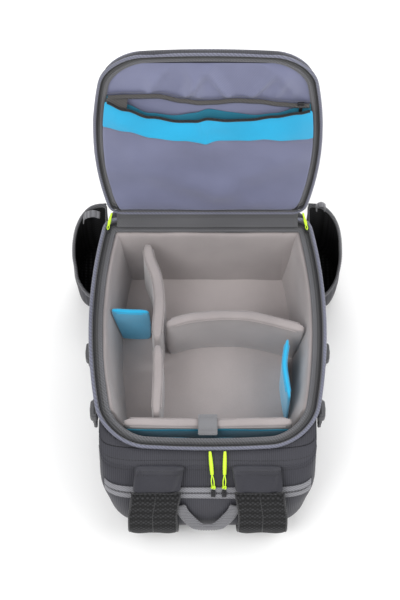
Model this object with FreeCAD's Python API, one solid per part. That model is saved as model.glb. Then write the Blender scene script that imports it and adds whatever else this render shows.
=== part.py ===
"""Rear-access drone backpack, lying on its front pocket with its back-panel lid open.

Millimetres. +X right, +Y towards the waist end, where the lid is hinged, and +Z up.
The origin is the centre of the flat face of the front pocket that the bag rests on.
"""
import FreeCAD, Part
import math
import os

V = FreeCAD.Vector

# main opening: its long sides are arcs of one radius, closer together at the ends
HINGE_Y = 212.0
RIM_Z = 190.0
RIM_LENGTH = 375.0
NEAR_Y = HINGE_Y - RIM_LENGTH
SIDE_ARC_R = 750.0
SIDE_ARC_X = 570.0
SIDE_ARC_Y = 36.0
NEAR_BOW = 8.0
RIM_CORNER = 62.0
HINGE_CORNER = 10.0
BODY_BOTTOM = 16.0
FLOOR_Z = 50.0

# inward offsets from the outer edge of the rim
PIPING = 5.0
PANEL_OUT = 7.0
PANEL_IN = 12.6
LID_EDGE = 12.2
PAD_TOP = 176.0
DIVIDER_TOP = 172.0
PAD_FLOOR = 60.0
PAD_TOP_IN = 26.0
PAD_FLOOR_IN = 46.0

# lid, drawn shut and then opened
LID_OPEN = 100.0
LID_BOTTOM = 190.0
LID_TOP = 200.0
LID_START = 15.0
POCKET_MOUTH = 239.0
POCKET_BOTTOM = 22.0

# bag end beyond the rim: reach past the rim and drop below it
END_PROFILE = [(2, 10), (30, 12), (54, 38), (64, 52), (80, 95), (85, 112), (75, 150), (50, 168), (2, 173)]
END_WALL = 5.0
BAND_TOP = (54, 38)
BAND_LOW = (64, 52)

STRAP_X = 75.0
STRAP_WIDTH = 72.0
STRAP_THICK = 9.0
BUCKLE_Y = (-98.0, -5.0)
DIVIDER_THICK = 16.0
DIVIDER_GAP = 0.5
SLIDER_Y = 192.0
WALL_GAP = 1.5


def box(x0, x1, y0, y1, z0, z1):
    return Part.makeBox(x1 - x0, y1 - y0, z1 - z0, V(x0, y0, z0))


def side_x(y, offset=0.0):
    """Half-width of the opening at y, moved in by an offset."""
    return math.sqrt((SIDE_ARC_R - offset) ** 2 - (y - SIDE_ARC_Y) ** 2) - SIDE_ARC_X


def rim_prism(offset, z0, z1, far=HINGE_Y, near_corner=None, far_corner=None):
    """The opening's outline, moved in by an offset and drawn up from z0 to z1."""
    near = NEAR_Y + offset
    far = far - offset if far == HINGE_Y else far
    wn = side_x(near, offset)
    wf = side_x(far, offset)
    wm = SIDE_ARC_R - SIDE_ARC_X - offset
    edges = [
        Part.Arc(V(-wn, near, z0), V(0, near - NEAR_BOW, z0), V(wn, near, z0)).toShape(),
        Part.Arc(V(wn, near, z0), V(wm, SIDE_ARC_Y, z0), V(wf, far, z0)).toShape(),
        Part.LineSegment(V(wf, far, z0), V(-wf, far, z0)).toShape(),
        Part.Arc(V(-wf, far, z0), V(-wm, SIDE_ARC_Y, z0), V(-wn, near, z0)).toShape(),
    ]
    solid = Part.Face(Part.Wire(edges)).extrude(V(0, 0, z1 - z0))
    near_r = near_corner or RIM_CORNER - offset
    far_r = far_corner or max(HINGE_CORNER - offset, 8.0)
    for low, radius in ((True, near_r), (False, far_r)):
        upright = [e for e in solid.Edges if is_upright(e, z1 - z0) and (e.Vertexes[0].Y < 0) == low]
        corners = [e for e in upright if near_end(e, near, far, low)]
        solid = solid.makeFillet(radius, corners)
    return solid


def is_upright(edge, height):
    a = edge.Vertexes[0].Point
    b = edge.Vertexes[-1].Point
    return abs(abs(a.z - b.z) - height) < 0.01 and abs(a.x - b.x) < 0.01 and abs(a.y - b.y) < 0.01


def near_end(edge, near, far, low):
    y = edge.Vertexes[0].Y
    return abs(y - (near if low else far)) < 0.01


def cavity(gap, top):
    """The tapering space inside the wall pads, drawn smaller all round by a gap."""
    depth = top - PAD_FLOOR
    spread = (PAD_FLOOR_IN - PAD_TOP_IN) / (PAD_TOP - PAD_FLOOR)
    low = rim_prism(PAD_FLOOR_IN + gap, PAD_FLOOR, PAD_FLOOR + 1, near_corner=20, far_corner=12)
    high = rim_prism(PAD_FLOOR_IN + gap - depth * spread, top, top + 1, near_corner=32, far_corner=16)
    wires = [min(s.Faces, key=lambda f: f.CenterOfMass.z).OuterWire for s in (low, high)]
    return Part.makeLoft(wires, True, True)


def rim_ring(outer, inner, z0, z1):
    return rim_prism(outer, z0, z1).cut(rim_prism(inner, z0 - 1, z1 + 1))


def sheet_along(points, x0, x1, thick):
    """A strip of even thickness that follows points in the YZ plane, from x0 to x1."""
    normals = []
    for i in range(len(points)):
        a = points[max(i - 1, 0)]
        b = points[min(i + 1, len(points) - 1)]
        dy = b[0] - a[0]
        dz = b[1] - a[1]
        length = math.hypot(dy, dz)
        normals.append((dz / length, -dy / length))
    left = [V(x0, p[0] + n[0] * thick / 2, p[1] + n[1] * thick / 2) for p, n in zip(points, normals)]
    right = [V(x0, p[0] - n[0] * thick / 2, p[1] - n[1] * thick / 2) for p, n in zip(points, normals)]
    outline = left + right[::-1]
    return Part.Face(Part.makePolygon(outline + [outline[0]])).extrude(V(x1 - x0, 0, 0))


def end_point(reach, drop):
    """Place in the YZ plane of a point past the rim by reach and below it by drop."""
    return (NEAR_Y - reach, RIM_Z - drop)


def end_solid(inset):
    """The bag's rounded end, made smaller all round by inset."""
    points = [end_point(e - inset if e > 10 else e, d + (inset if d < 60 else -inset if d > 140 else 0))
              for e, d in END_PROFILE]
    wire = Part.makePolygon([V(-170, y, z) for y, z in points + [points[0]]])
    side = Part.Face(wire).extrude(V(340, 0, 0))
    half = 156.0 - inset
    tip = 122.0 - inset
    y_tip = NEAR_Y - 92 + inset
    plan = Part.makePolygon([
        V(-half - 5, NEAR_Y + 1, 0), V(half + 5, NEAR_Y + 1, 0),
        V(half, NEAR_Y - 30, 0), V(half - 8, NEAR_Y - 60, 0),
        V(tip, y_tip, 0), V(-tip, y_tip, 0), V(-half + 8, NEAR_Y - 60, 0), V(-half, NEAR_Y - 30, 0),
        V(-half - 5, NEAR_Y + 1, 0)])
    return side.common(Part.Face(plan).extrude(V(0, 0, RIM_Z)))


def band_cutter(top, low):
    """The space between two lines that run straight out of the end's slope."""
    y0, z0 = end_point(*top)
    y1, z1 = end_point(*low)
    dy = z1 - z0
    dz = y0 - y1
    length = math.hypot(dy, dz)
    normal = (dy / length, dz / length)
    pts = [(y + normal[0] * reach, z + normal[1] * reach)
           for y, z, reach in ((y0, z0, 14), (y1, z1, 14), (y1, z1, -110), (y0, z0, -110))]
    wire = Part.makePolygon([V(-200, y, z) for y, z in pts + [pts[0]]])
    return Part.Face(wire).extrude(V(400, 0, 0))


def bag_panels():
    ring = rim_ring(PANEL_OUT, PANEL_IN, FLOOR_Z, 180)
    split = 112.0
    return {
        "side_panel_left": ring.common(box(-200, -split, -300, 300, 0, 300)),
        "side_panel_right": ring.common(box(split, 200, -300, 300, 0, 300)),
        "base_panel": ring.common(box(-split, split, 0, 300, 0, 300)),
        "partition_panel": ring.common(box(-split, split, -300, 0, 0, 300)),
        "front_board": rim_prism(PANEL_IN + 0.2, FLOOR_Z, FLOOR_Z + 3),
        "floor_pad": rim_prism(PAD_FLOOR_IN + 0.3, FLOOR_Z + 3, PAD_FLOOR, near_corner=22, far_corner=14),
        "front_organiser": organiser(),
        "front_pocket": front_pocket(),
        "base_cushion": base_cushion(),
    }


def organiser():
    """The empty front organiser: a deep tray of soft wall closed by the front board."""
    tray = rim_prism(PANEL_OUT, BODY_BOTTOM, FLOOR_Z)
    return tray.cut(rim_prism(PANEL_OUT + 8, BODY_BOTTOM + 8, FLOOR_Z + 1))


def front_pocket():
    pocket = box(-120, 120, -125, 125, 0, BODY_BOTTOM)
    upright = [e for e in pocket.Edges if is_upright(e, BODY_BOTTOM)]
    return pocket.makeFillet(40, upright)


def base_cushion():
    """The padded waist end behind the hinge, low enough for the lid to fold back over it."""
    block = box(-158, 158, HINGE_Y - PANEL_OUT, 247, BODY_BOTTOM, 170)
    long_edges = [e for e in block.Edges if abs(e.BoundBox.XLength - 316) < 1 and e.BoundBox.YMin > 240]
    block = block.makeFillet(28, long_edges)
    return block.cut(box(-148, 148, HINGE_Y - PANEL_OUT - 1, 237, BODY_BOTTOM + 10, 160))


def rim_parts():
    return {
        "rim_piping": rim_ring(0, PIPING, 181, RIM_Z),
        "rim_zip_tape": rim_ring(PIPING + 0.01, PANEL_IN, 180, 183),
    }


def wall_pads():
    ring = rim_prism(PANEL_IN, FLOOR_Z + 3, PAD_TOP).cut(cavity(0, PAD_TOP + 0.01))
    ring = ring.cut(rim_prism(PAD_FLOOR_IN, FLOOR_Z, PAD_FLOOR + 0.1, near_corner=20, far_corner=12))
    near_cut = -111.0
    split = 118.0
    return {
        "wall_pad_left": ring.common(box(-200, -split, near_cut, 300, 0, 300)),
        "wall_pad_right": ring.common(box(split, 200, near_cut, 300, 0, 300)),
        "wall_pad_far": ring.common(box(-split, split, 100, 300, 0, 300)),
        "sleeve_pad": box(-130, 130, -130, -112, PAD_FLOOR, PAD_TOP - 3),
        "sleeve_lining": box(-112, 112, -150, -147, FLOOR_Z + 3, PAD_TOP - 1),
    }


def end_parts():
    shell = end_solid(0).cut(end_solid(END_WALL).fuse(box(-150, 150, NEAR_Y - 2, NEAR_Y + 5, 25, 172)))
    band_zone = band_cutter(BAND_TOP, BAND_LOW)
    middle_z = (RIM_Z - BAND_TOP[1] + RIM_Z - BAND_LOW[1]) / 2
    rest = shell.cut(band_zone)
    solids = sorted(rest.Solids, key=lambda s: -s.BoundBox.ZMax)
    band = shell.common(band_zone)
    band = max(band.Solids, key=lambda s: s.Volume)
    upper = [s for s in solids if s.CenterOfMass.z > middle_z]
    lower = [s for s in solids if s.CenterOfMass.z <= middle_z]
    return {"top_hood": upper[0], "top_end_panel": lower[0], "top_zip_band": band}


def divider(points, thick, top):
    """An upright pad of even thickness along points in the XY plane, with a round bend at each."""
    z0 = PAD_FLOOR + DIVIDER_GAP
    z1 = top
    solid = None
    for a, b in zip(points, points[1:]):
        length = math.hypot(b[0] - a[0], b[1] - a[1])
        slab = Part.makeBox(length, thick, z1 - z0, V(0, -thick / 2, z0))
        slab.rotate(V(0, 0, 0), V(0, 0, 1), math.degrees(math.atan2(b[1] - a[1], b[0] - a[0])))
        slab.translate(V(a[0], a[1], 0))
        solid = slab if solid is None else solid.fuse(slab)
    for p in points[1:-1]:
        solid = solid.fuse(Part.makeCylinder(thick / 2, z1 - z0, V(p[0], p[1], z0)))
    return solid.removeSplitter().common(cavity(WALL_GAP, PAD_TOP))


def dividers():
    return {
        "divider_long": divider([(-90, 200), (-77, 124), (-77, 12)], DIVIDER_THICK, DIVIDER_TOP),
        "divider_lower": divider([(-76, 10), (-76, -110)], DIVIDER_THICK, DIVIDER_TOP - 4),
        "divider_cross": divider([(-66, 40), (8, 54), (58, 55), (165, 26)], DIVIDER_THICK, DIVIDER_TOP),
        "divider_blue_left": divider([(-165, 66), (-86, 63)], 8, DIVIDER_TOP - 8),
        "divider_blue_right": divider([(124, 22), (117, -20), (124, -82)], 8, DIVIDER_TOP - 8),
    }


def opened(shape):
    """Turn a shape of the shut lid about the hinge to the open pose."""
    shape.rotate(V(0, HINGE_Y, RIM_Z), V(1, 0, 0), -LID_OPEN)
    return shape


def lid_slab(offset, z0, z1, start=LID_START):
    return rim_prism(offset, z0, z1, far=HINGE_Y - start, near_corner=52, far_corner=20)


def lid_parts():
    board = lid_slab(LID_EDGE + 3, LID_BOTTOM + 2, LID_TOP)
    edge = lid_slab(LID_EDGE, LID_BOTTOM - 5, LID_TOP).cut(lid_slab(LID_EDGE + 3, 180, 210))
    tape = lid_slab(LID_EDGE + 3, LID_BOTTOM - 2, LID_BOTTOM + 2).cut(lid_slab(LID_EDGE + 9, 180, 210))
    lining = lid_slab(LID_EDGE + 9, LID_BOTTOM, LID_BOTTOM + 2)
    strip = box(-132, 132, HINGE_Y - LID_START, HINGE_Y - 1, RIM_Z + 0.5, RIM_Z + 2)
    slots = lid_slab(LID_EDGE + 14, 170, 189.7, start=POCKET_BOTTOM)
    mouth_y = HINGE_Y - POCKET_MOUTH
    blue_y = HINGE_Y - 196
    low_y = HINGE_Y - POCKET_BOTTOM
    lower = sheet_along([(low_y, 188.6), (low_y - 40, 186), (blue_y, 182)], -160, 160, 1.6).common(slots)
    blue = sheet_along([(blue_y - 0.1, 182), (mouth_y, 178.6)], -160, 160, 1.6).common(slots)
    zip_tape = box(-138, 138, HINGE_Y - 277, HINGE_Y - 267, 187.6, 189.9)
    cushions = [back_cushion(side) for side in (-1, 1)]
    lumbar = box(-110, 110, HINGE_Y - 110, HINGE_Y - 52, LID_TOP + 0.2, LID_TOP + 20)
    lumbar = lumbar.makeFillet(8, [e for e in lumbar.Edges if e.BoundBox.ZMin > LID_TOP + 19])
    parts = {
        "lid_board": board,
        "lid_edge_band": edge,
        "lid_zip_tape": tape,
        "lid_lining": lining,
        "hinge_strip": strip,
        "lid_pocket_lower": lower,
        "lid_pocket_upper": blue,
        "lid_pocket_zip_tape": zip_tape,
        "back_cushions": Part.makeCompound(cushions),
        "lumbar_pad": lumbar,
    }
    return {name: opened(shape) for name, shape in parts.items()}


def back_cushion(side):
    x0, x1 = sorted((side * 22, side * 128))
    pad = box(x0, x1, NEAR_Y + 40, HINGE_Y - 122, LID_TOP + 0.2, LID_TOP + 20)
    return pad.makeFillet(8, [e for e in pad.Edges if e.BoundBox.ZMin > LID_TOP + 19])


def main_zip(side):
    """One slider in the channel beside the shut lid, and the pull that trails behind it over the piping."""
    y = SLIDER_Y
    x = side * side_x(y, (PIPING + LID_EDGE) / 2)
    turn = side * math.degrees(math.asin((y - SIDE_ARC_Y) / SIDE_ARC_R))
    slider = box(-3, 3, -4.5, 4.5, 183.2, 188.4)
    loop = box(-1, 1, -3, 5, 189.2, 190.6)
    pull = loop.fuse(box(-2, 2, 3, 27, 190.6, 193.2)).removeSplitter()
    for shape in (slider, pull):
        shape.rotate(V(0, 0, 0), V(0, 0, 1), turn)
        shape.translate(V(x, y, 0))
    return slider, pull


def top_zip(x):
    """One slider on the light band of the end, and its two-part cord pull lying up the slope."""
    y, z = end_point(58.5, 43.5)
    slider = Part.makeBox(8, 11, 5, V(-4, -5.5, 0.3))
    slider.rotate(V(0, 0, 0), V(1, 0, 0), slope_angle())
    slider.translate(V(x, y, z))
    route = [end_point(53.0, 31.0), end_point(41, 13), end_point(36, 9)]
    cord = sheet_along([route[0], route[1]], x - 1.5, x + 1.5, 3)
    grip = sheet_along([end_point(41, 12.5), end_point(11, 0.5)], x - 3, x + 3, 4)
    return slider, cord.fuse(grip).removeSplitter()


def slope_angle():
    rise = BAND_LOW[1] - BAND_TOP[1]
    run = BAND_LOW[0] - BAND_TOP[0]
    return math.degrees(math.atan2(rise, run))


def pocket_zip():
    """The lid pocket's slider near its right end, and the short pull below it."""
    x = 132.0
    y = HINGE_Y - 272
    slider = box(x - 6, x + 6, y - 4, y + 4, 183.5, 187.5)
    pull = box(x - 3, x + 3, y + 6.2, y + 30, 184, 186.5)
    return opened(slider), opened(pull)


def shoulder_strap(side):
    x0, x1 = sorted((side * (STRAP_X - STRAP_WIDTH / 2), side * (STRAP_X + STRAP_WIDTH / 2)))
    route = [(-200, 187), (-226, 160), (-236, 143), (-252, 96), (-257, 78), (-250, 46), (-238, 20),
             (-222, 7), (-200, 6), (-152, 6)]
    return sheet_along(route, x0, x1, STRAP_THICK)


def grab_handle():
    route = [end_point(69, 54), end_point(84, 92), end_point(90, 112)]
    plate = sheet_along(route, -36, 36, 4)
    hole = sheet_along([end_point(60, 30), end_point(86, 96)], -17, 17, 60)
    return plate.cut(hole)


def side_pocket(side):
    """A cup for a bottle on the side wall, cut off at a slant, with its bound hem apart."""
    def cup(inset, z0):
        wire = Part.Wire([
            Part.Arc(V(168 + inset, 128 + inset, z0), V(216 - inset, 186, z0),
                     V(168 + inset, 244 - inset, z0)).toShape(),
            Part.LineSegment(V(168 + inset, 244 - inset, z0), V(168 + inset, 128 + inset, z0)).toShape()])
        return Part.Face(wire).extrude(V(0, 0, 200 - z0))

    def below(lift):
        pts = [(100, 20), (100, 72 + lift), (128, 72 + lift), (262, 196 + lift), (262, 20), (100, 20)]
        return Part.Face(Part.makePolygon([V(150, y, z) for y, z in pts])).extrude(V(90, 0, 0))

    shell = cup(0, 24).cut(cup(3, 28))
    body = shell.common(below(-8))
    hem = shell.common(below(0)).cut(below(-7.9))
    parts = (body, hem)
    if side < 0:
        parts = tuple(p.mirror(V(0, 0, 0), V(1, 0, 0)) for p in parts)
    return parts


def compression(side):
    """Webbing, female buckle and male buckle of the two straps on one side."""
    webbing = []
    females = []
    males = []
    for y in BUCKLE_Y:
        x = max(side_x(y - 14, PANEL_OUT), side_x(y + 14, PANEL_OUT)) + 0.4

        def slab(near, far, half, z0, z1, at=y):
            xs = sorted((side * near, side * far))
            return box(xs[0], xs[1], at - half, at + half, z0, z1)

        webbing.append(slab(x, x + 2, 12, 172.2, 179.8))
        webbing.append(slab(x, x + 2, 12, 24, 90))
        females.append(slab(x, x + 12, 14, 146, 172))
        males.append(slab(x + 3, x + 9, 11, 112, 145.8))
    return webbing, females, males


def webbing_tabs():
    left = box(-195, -171.4, 224, 226, 164, 178)
    loop = box(170, 186, 232, 234, 176, 196).cut(box(174, 182, 231, 235, 180, 192))
    return {"pocket_webbing_loops": Part.makeCompound([left, loop])}


def sleeve_tab():
    strap = box(-15, 15, -144, -112, 174.2, 176.2)
    return strap.fuse(box(-15, 15, -112, -110.4, 150, 176.2))


def export(name, shape):
    shape.exportStep("parts/" + name + ".step")
    print(name, round(shape.Volume), shape.isValid(), len(shape.Solids))


def main():
    os.makedirs("parts", exist_ok=True)
    parts = {}
    groups = (bag_panels(), rim_parts(), wall_pads(), end_parts(), dividers(), lid_parts(), webbing_tabs())
    for group in groups:
        parts.update(group)
    webbing = []
    females = []
    for side, word in ((-1, "left"), (1, "right")):
        parts["main_slider_" + word], parts["main_pull_" + word] = main_zip(side)
        parts["shoulder_strap_" + word] = shoulder_strap(side)
        parts["side_pocket_" + word], parts["pocket_hem_" + word] = side_pocket(side)
        straps, sockets, males = compression(side)
        webbing += straps
        females += sockets
        parts["buckle_male_upper_" + word] = males[0]
        parts["buckle_male_lower_" + word] = males[1]
    parts["compression_webbing"] = Part.makeCompound(webbing)
    parts["buckle_females"] = Part.makeCompound(females)
    for x, word in ((8, "left"), (24, "right")):
        parts["top_slider_" + word], parts["top_pull_" + word] = top_zip(x)
    parts["pocket_slider"], parts["pocket_pull"] = pocket_zip()
    parts["grab_handle"] = grab_handle()
    parts["sleeve_tab"] = sleeve_tab()
    for name, shape in parts.items():
        export(name, shape)


main()
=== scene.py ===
"""Looks of the open drone carrying case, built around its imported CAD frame.

Shapes are worked out in millimetres in the CAD part's own frame, and become metres in mesh_piece.
"""
import bpy
import bmesh
import math
from mathutils import Matrix, Vector, noise


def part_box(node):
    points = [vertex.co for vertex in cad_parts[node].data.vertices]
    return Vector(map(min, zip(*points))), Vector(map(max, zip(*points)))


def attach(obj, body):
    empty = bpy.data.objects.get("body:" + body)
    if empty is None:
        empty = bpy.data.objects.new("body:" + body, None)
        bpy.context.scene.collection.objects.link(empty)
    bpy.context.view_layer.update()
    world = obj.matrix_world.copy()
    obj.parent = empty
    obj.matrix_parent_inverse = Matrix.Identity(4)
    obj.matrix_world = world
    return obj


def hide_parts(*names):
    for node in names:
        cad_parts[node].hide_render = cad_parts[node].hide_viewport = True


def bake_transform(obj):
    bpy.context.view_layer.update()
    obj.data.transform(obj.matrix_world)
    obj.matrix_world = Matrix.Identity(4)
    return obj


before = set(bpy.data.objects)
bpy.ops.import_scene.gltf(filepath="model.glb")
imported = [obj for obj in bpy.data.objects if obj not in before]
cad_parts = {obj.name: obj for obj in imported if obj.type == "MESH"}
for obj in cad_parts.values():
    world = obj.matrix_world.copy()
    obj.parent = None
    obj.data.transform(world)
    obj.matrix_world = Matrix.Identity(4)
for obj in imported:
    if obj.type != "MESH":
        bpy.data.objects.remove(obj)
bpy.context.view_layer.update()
scene = bpy.context.scene
MM = 0.001

# the opening's outline, as in the CAD
HINGE_Y = 212.0
RIM_Z = 190.0
NEAR_Y = -163.0
SIDE_ARC_R = 750.0
SIDE_ARC_X = 570.0
SIDE_ARC_Y = 36.0
NEAR_BOW = 8.0
LID_OPEN = math.radians(-100)
LID_START = 15.0
SIDES = ((-1, "left"), (1, "right"))
UP = Vector((0, 0, 1))


# ---------------------------------------------------------------- materials

WEAVE_DIRECTION = {"rib": "X", "ribz": "Z", "twill": "DIAGONAL"}


def new_material(name):
    material = bpy.data.materials.new(name)
    material.use_nodes = True
    return material, material.node_tree.nodes, material.node_tree.links


def math_node(nodes, links, operation, a, b):
    node = nodes.new("ShaderNodeMath")
    node.operation = operation
    for socket, value in zip(node.inputs, (a, b)):
        if isinstance(value, (int, float)):
            socket.default_value = value
        else:
            links.new(value, socket)
    return node.outputs[0]


def wave(nodes, links, vector, direction, period):
    """Stripes across one axis, as many millimetres apart as the period."""
    node = nodes.new("ShaderNodeTexWave")
    node.wave_type = "BANDS"
    node.bands_direction = direction
    node.inputs["Scale"].default_value = 1000 / period / 20 * math.pi
    node.inputs["Distortion"].default_value = 0.6
    node.inputs["Detail"].default_value = 1.0
    node.inputs["Detail Scale"].default_value = 2.0
    links.new(vector, node.inputs["Vector"])
    return node.outputs["Fac"]


def fuzz(nodes, links, vector, scale, detail=3.0):
    node = nodes.new("ShaderNodeTexNoise")
    node.inputs["Scale"].default_value = scale
    node.inputs["Detail"].default_value = detail
    links.new(vector, node.inputs["Vector"])
    return node.outputs["Fac"]


def cells(nodes, links, vector, period, scatter):
    """Distance from the middle of the nearest cell, for open meshes."""
    node = nodes.new("ShaderNodeTexVoronoi")
    node.inputs["Scale"].default_value = 1000 / period
    node.inputs["Randomness"].default_value = scatter
    links.new(vector, node.inputs["Vector"])
    return node.outputs["Distance"]


def weave_pattern(nodes, links, place, weave, period):
    """The height pattern of one weave, between 0 and about 1."""
    if weave in WEAVE_DIRECTION:
        return wave(nodes, links, place, WEAVE_DIRECTION[weave], period)
    if weave == "ripstop":
        across = wave(nodes, links, place, "X", period)
        along = wave(nodes, links, place, "Y", period)
        up = wave(nodes, links, place, "Z", period)
        return math_node(nodes, links, "MULTIPLY", across, math_node(nodes, links, "MAXIMUM", along, up))
    if weave == "mesh":
        return math_node(nodes, links, "MULTIPLY", cells(nodes, links, place, period, 0.25), 1.6)
    if weave == "diamond":
        turn = nodes.new("ShaderNodeMapping")
        turn.inputs["Rotation"].default_value = (0, math.radians(45), 0)
        links.new(place, turn.inputs["Vector"])
        holes = cells(nodes, links, turn.outputs["Vector"], period, 0.0)
        return math_node(nodes, links, "SUBTRACT", 1.15, math_node(nodes, links, "MULTIPLY", holes, 2.2))
    return fuzz(nodes, links, place, 1000 / period, 2.0)


def cloth(name, color, weave="plain", period=1.2, rough=0.9, sheen=0.25, relief=0.5, vary=0.18, dark=0.55):
    """Woven or napped fabric: colour, weave relief, slow shade changes and fine fibre noise."""
    material, nodes, links = new_material(name)
    shader = nodes["Principled BSDF"]
    place = nodes.new("ShaderNodeTexCoord").outputs["Object"]
    slow = fuzz(nodes, links, place, 14)
    fine = fuzz(nodes, links, place, 1400, 1.0)
    pattern = weave_pattern(nodes, links, place, weave, period)
    height = math_node(nodes, links, "ADD", math_node(nodes, links, "MULTIPLY", pattern, 0.75),
                       math_node(nodes, links, "MULTIPLY", fine, 0.25))
    ramp = nodes.new("ShaderNodeValToRGB")
    ramp.color_ramp.elements[0].color = [c * dark for c in color] + [1]
    ramp.color_ramp.elements[1].color = [min(c * 1.15, 1) for c in color] + [1]
    ramp.color_ramp.elements[0].position = 0.05
    ramp.color_ramp.elements[1].position = 0.75
    links.new(height, ramp.inputs["Fac"])
    tone = nodes.new("ShaderNodeMix")
    tone.data_type = "RGBA"
    tone.blend_type = "MULTIPLY"
    tone.inputs["Factor"].default_value = vary * 3
    shade = nodes.new("ShaderNodeValToRGB")
    shade.color_ramp.elements[0].color = (0.55, 0.55, 0.56, 1)
    shade.color_ramp.elements[1].color = (1.1, 1.1, 1.1, 1)
    shade.color_ramp.elements[0].position = 0.3
    shade.color_ramp.elements[1].position = 0.7
    links.new(slow, shade.inputs["Fac"])
    links.new(ramp.outputs["Color"], tone.inputs["A"])
    links.new(shade.outputs["Color"], tone.inputs["B"])
    links.new(tone.outputs["Result"], shader.inputs["Base Color"])
    bump = nodes.new("ShaderNodeBump")
    bump.inputs["Strength"].default_value = relief
    bump.inputs["Distance"].default_value = 0.0006
    links.new(height, bump.inputs["Height"])
    links.new(bump.outputs["Normal"], shader.inputs["Normal"])
    rough_out = math_node(nodes, links, "ADD", math_node(nodes, links, "MULTIPLY", slow, 0.12),
                          rough - 0.06)
    links.new(rough_out, shader.inputs["Roughness"])
    shader.inputs["Sheen Weight"].default_value = sheen
    shader.inputs["Sheen Roughness"].default_value = 0.5
    shader.inputs["Specular IOR Level"].default_value = 0.3
    return material


def moulded(name, color, rough=0.45, metallic=0.0, grain=0.25):
    """Moulded plastic, rubber or painted metal with a fine spark-eroded grain and worn patches."""
    material, nodes, links = new_material(name)
    shader = nodes["Principled BSDF"]
    place = nodes.new("ShaderNodeTexCoord").outputs["Object"]
    slow = fuzz(nodes, links, place, 60)
    fine = fuzz(nodes, links, place, 2600, 1.0)
    ramp = nodes.new("ShaderNodeValToRGB")
    ramp.color_ramp.elements[0].color = [c * 0.8 for c in color] + [1]
    ramp.color_ramp.elements[1].color = [min(c * 1.12, 1) for c in color] + [1]
    links.new(slow, ramp.inputs["Fac"])
    links.new(ramp.outputs["Color"], shader.inputs["Base Color"])
    links.new(math_node(nodes, links, "ADD", math_node(nodes, links, "MULTIPLY", slow, 0.2), rough - 0.1),
              shader.inputs["Roughness"])
    bump = nodes.new("ShaderNodeBump")
    bump.inputs["Strength"].default_value = grain
    bump.inputs["Distance"].default_value = 0.0002
    links.new(fine, bump.inputs["Height"])
    links.new(bump.outputs["Normal"], shader.inputs["Normal"])
    shader.inputs["Metallic"].default_value = metallic
    return material


# colour, weave, period in mm, roughness, sheen, relief, shade change and dark share of each cloth
CLOTHS = {
    "outer_nylon": ((0.040, 0.040, 0.050), "rib", 1.5, 0.6, 0.05, 0.6, 0.14, 0.72),
    "shell_nylon": ((0.040, 0.040, 0.050), "twill", 1.5, 0.6, 0.05, 0.5, 0.14, 0.75),
    "root_nylon": ((0.034, 0.034, 0.043), "plain", 0.9, 0.5, 0.05, 0.4, 0.12, 0.7),
    "side_nylon": ((0.038, 0.038, 0.048), "ripstop", 3.0, 0.6, 0.05, 0.6, 0.12, 0.6),
    "piping": ((0.15, 0.155, 0.205), "twill", 1.4, 0.55, 0.3, 0.5, 0.1, 0.7),
    "zip_tape": ((0.060, 0.060, 0.062), "twill", 1.2, 0.8, 0.2, 0.5, 0.1, 0.6),
    "rim_tape": ((0.105, 0.105, 0.112), "twill", 1.2, 0.8, 0.2, 0.5, 0.1, 0.7),
    "pad_velour": ((0.335, 0.300, 0.298), "plain", 0.8, 0.95, 0.5, 0.35, 0.10, 0.86),
    "floor_velour": ((0.42, 0.38, 0.375), "plain", 0.8, 0.95, 0.5, 0.35, 0.08, 0.88),
    "blue_velour": ((0.02, 0.40, 0.68), "plain", 0.8, 0.9, 0.5, 0.35, 0.1, 0.85),
    "satin_lining": ((0.165, 0.175, 0.275), "twill", 0.9, 0.34, 0.2, 0.25, 0.1, 0.85),
    "blue_nylon": ((0.008, 0.38, 0.66), "plain", 0.7, 0.5, 0.2, 0.25, 0.08, 0.88),
    "teal_lining": ((0.008, 0.135, 0.21), "plain", 0.8, 0.8, 0.2, 0.3, 0.1, 0.85),
    "webbing": ((0.165, 0.165, 0.178), "ribz", 1.6, 0.75, 0.25, 0.9, 0.1, 0.55),
    "band": ((0.225, 0.225, 0.245), "twill", 1.3, 0.7, 0.2, 0.6, 0.1, 0.7),
    "dark_webbing": ((0.040, 0.040, 0.045), "ribz", 1.6, 0.75, 0.2, 0.9, 0.1, 0.55),
    "air_mesh": ((0.034, 0.034, 0.037), "diamond", 5.2, 0.8, 0.0, 1.0, 0.1, 0.10),
    "hem": ((0.125, 0.125, 0.135), "twill", 1.4, 0.75, 0.25, 0.6, 0.1, 0.6),
    "binding": ((0.014, 0.014, 0.016), "twill", 1.4, 0.75, 0.2, 0.6, 0.1, 0.6),
    "binding_grey": ((0.072, 0.068, 0.066), "twill", 1.4, 0.75, 0.2, 0.6, 0.1, 0.6),
    "hook_loop": ((0.19, 0.19, 0.20), "mesh", 0.9, 0.9, 0.4, 0.8, 0.1, 0.6),
    "thread": ((0.20, 0.20, 0.22), "twill", 0.5, 0.6, 0.2, 0.3, 0.05, 0.8),
    "dark_thread": ((0.015, 0.015, 0.017), "twill", 0.5, 0.6, 0.2, 0.3, 0.05, 0.8),
}
# colour, roughness and metal share of each hard material
MOULDED = {
    "neon_cord": ((0.62, 0.92, 0.03), 0.5),
    "zip_metal": ((0.035, 0.035, 0.038), 0.35, 0.6),
    "zip_coil": ((0.020, 0.020, 0.022), 0.4),
    "buckle_plastic": ((0.055, 0.055, 0.060), 0.45),
    "buckle_grey": ((0.075, 0.075, 0.082), 0.5),
}
MAT = {name: cloth(name, *look) for name, look in CLOTHS.items()}
MAT.update({name: moulded(name, *look) for name, look in MOULDED.items()})


STITCH = (2.4, 0.7, 0.6)


# ---------------------------------------------------------------- mesh tools

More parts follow.
